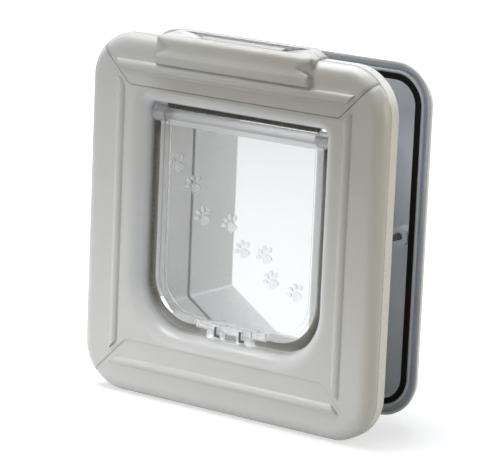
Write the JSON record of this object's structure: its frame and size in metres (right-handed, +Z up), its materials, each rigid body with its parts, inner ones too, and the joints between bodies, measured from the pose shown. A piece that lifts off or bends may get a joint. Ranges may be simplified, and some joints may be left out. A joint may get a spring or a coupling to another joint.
{
  "type": "cat flap",
  "caption": "Electronic cat flap for a door: moulded indoor frame with lift-off battery cover, clear swinging flap with brush seal, sill latches, tunnel and gasketed outdoor frame.",
  "frame": {"origin": "middle of the opening, on the plane where the indoor frame meets the door", "axes": "+X to the right seen from indoors, +Y through the door to the outdoor side, +Z up"},
  "size_m": [0.236, 0.1112, 0.2494],
  "materials": {
    "front_plastic": "glossy moulded plastic, pale grey-white",
    "rear_plastic": "smooth moulded plastic, slightly warmer white",
    "clear_plastic": "clear acrylic",
    "pile": "dark olive-brown brush pile",
    "steel": "plated steel",
    "magnet": "black coated magnet",
    "latch_plastic": "black moulded plastic",
    "winding": "enamelled copper winding",
    "cell_jacket": "plain dark jacket",
    "contact_metal": "nickel-plated strip",
    "board": "green board laminate",
    "lead_sheath": "black sheath",
    "gasket_rubber": "black foam rubber"
  },
  "bodies": {
    "frame": {"front_bezel": "front_plastic", "rear_frame": "rear_plastic", "outdoor_frame": "rear_plastic", "outdoor_gasket": "gasket_rubber", "sill_magnet": "magnet", "brush_top": "pile", "battery_tray": "rear_plastic", "circuit_board": "board", "wiring_lead": "lead_sheath", "sensor_coil": "winding", "fixing_screws": "steel", "bezel_pegs": "steel", "contact_link": "contact_metal", "contact_upper": "contact_metal", "contact_lower": "contact_metal", "battery_1": "cell_jacket", "battery_2": "cell_jacket", "battery_3": "cell_jacket", "battery_4": "cell_jacket", "latch_spring_left": "steel", "solenoid_yoke_left": "steel", "solenoid_coil_left": "winding", "latch_spring_right": "steel", "solenoid_yoke_right": "steel", "solenoid_coil_right": "winding"},
    "flap": {"flap_panel": "clear_plastic", "flap_catch": "clear_plastic", "catch_strikers": "latch_plastic", "flap_magnet": "magnet", "hinge_pin_left": "steel", "hinge_pin_right": "steel", "brush_left": "pile", "brush_right": "pile"},
    "cover": {"top_cover": "front_plastic"},
    "latch_bolt_left": {"latch_left": "latch_plastic", "plunger_left": "steel"},
    "latch_bolt_right": {"latch_right": "latch_plastic", "plunger_right": "steel"}
  },
  "joints": [
    {"name": "flap_swing", "type": "hinge", "parent": "frame", "child": "flap", "pos_m": [0, -0.0037, 0.068], "axis": [1, 0, 0], "range_deg": [-80, 80]},
    {"name": "cover_lift", "type": "slide", "parent": "frame", "child": "cover", "axis": [0, 0, 1], "range_m": [0, 0.06]},
    {"name": "latch_rise_left", "type": "slide", "parent": "frame", "child": "latch_bolt_left", "axis": [0, 0, 1], "range_m": [0, 0.006], "stiffness_N_per_m": 25, "deforming": ["latch_spring_left"]},
    {"name": "latch_rise_right", "type": "slide", "parent": "frame", "child": "latch_bolt_right", "axis": [0, 0, 1], "range_m": [0, 0.006], "stiffness_N_per_m": 25, "deforming": ["latch_spring_right"]}
  ]
}
